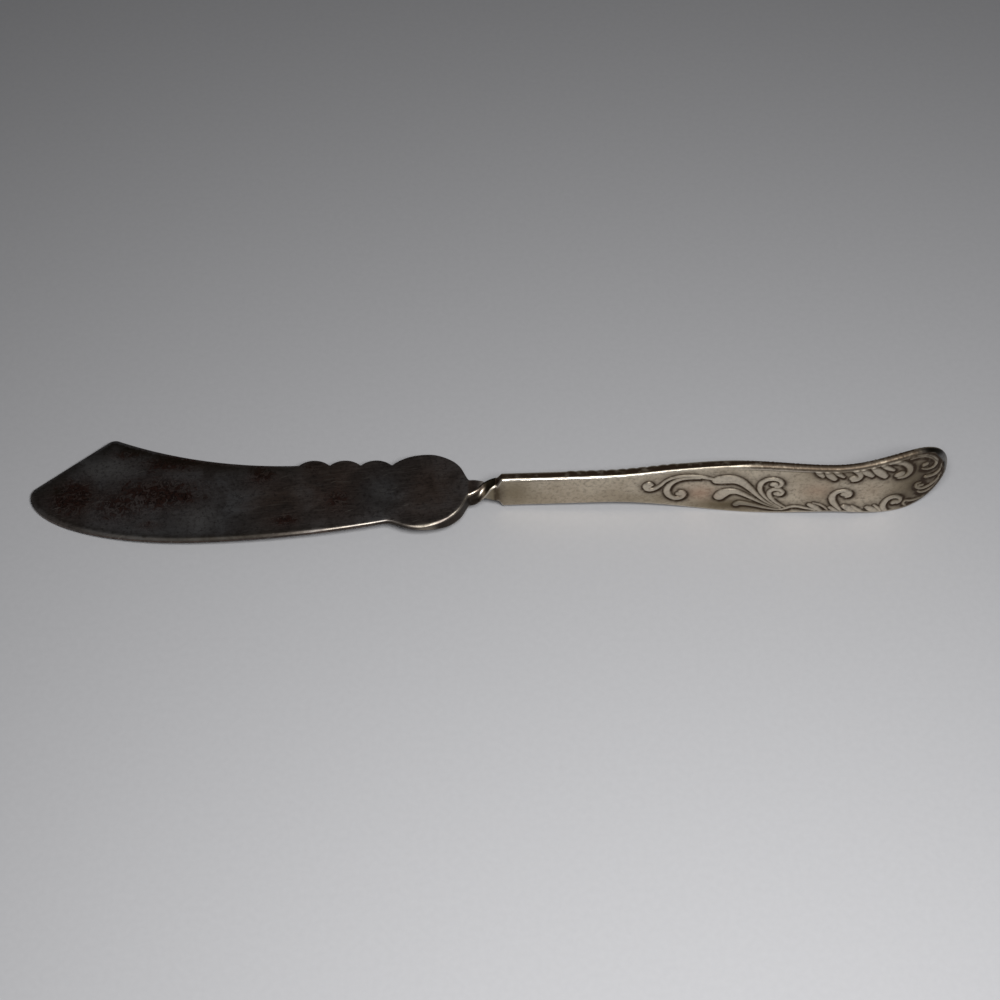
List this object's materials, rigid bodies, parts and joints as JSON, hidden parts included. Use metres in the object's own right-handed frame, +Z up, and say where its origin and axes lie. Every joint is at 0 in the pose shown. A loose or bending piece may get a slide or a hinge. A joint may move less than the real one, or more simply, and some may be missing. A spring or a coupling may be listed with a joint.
{
  "type": "butter spreader",
  "caption": "Silver-plated butter knife with a flat clipped blade, a scalloped spine, a twisted neck and a scrolled handle that stands on its edge.",
  "frame": {"origin": "on the table, under the middle of the knife's bounding box", "axes": "+X along the knife from the blade to the handle, +Y across the blade to its spine, +Z up from the table"},
  "size_m": [0.1834, 0.0258, 0.0179],
  "materials": {
    "blade_silver": "silver plate, dark with tarnish",
    "neck_silver": "silver plate, worn",
    "handle_silver": "silver plate, worn, with dark recesses"
  },
  "bodies": {
    "root": {"blade": "blade_silver", "twisted_neck": "neck_silver", "handle": "handle_silver"}
  },
  "joints": []
}
